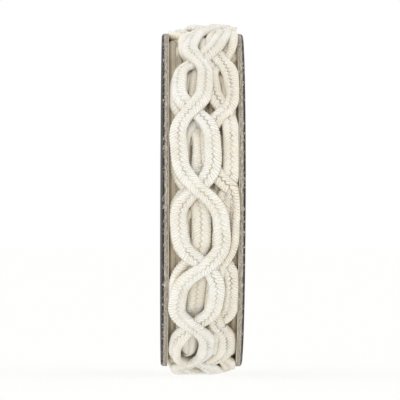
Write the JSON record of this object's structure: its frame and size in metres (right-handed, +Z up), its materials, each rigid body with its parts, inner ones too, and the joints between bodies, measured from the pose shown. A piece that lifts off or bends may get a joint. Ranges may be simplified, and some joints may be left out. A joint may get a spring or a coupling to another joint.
{
  "type": "spool of chain cord",
  "caption": "Spool of ivory chain cord: a trim of crossing flat braided cords wound between round cardboard flanges, standing on its edge.",
  "frame": {"origin": "on the surface that the spool stands on, under its middle", "axes": "+X along the axle from the left flange to the right one, +Z up, -Y towards the front"},
  "size_m": [0.0242, 0.1064, 0.105],
  "materials": {
    "flange_left": "matt greyboard edge under dark printed paper",
    "flange_right": "matt greyboard edge under dark printed paper",
    "winding": "braided rayon with a soft sheen"
  },
  "bodies": {
    "root": {"flange_left": "flange_left", "flange_right": "flange_right", "winding": "winding"}
  },
  "joints": []
}
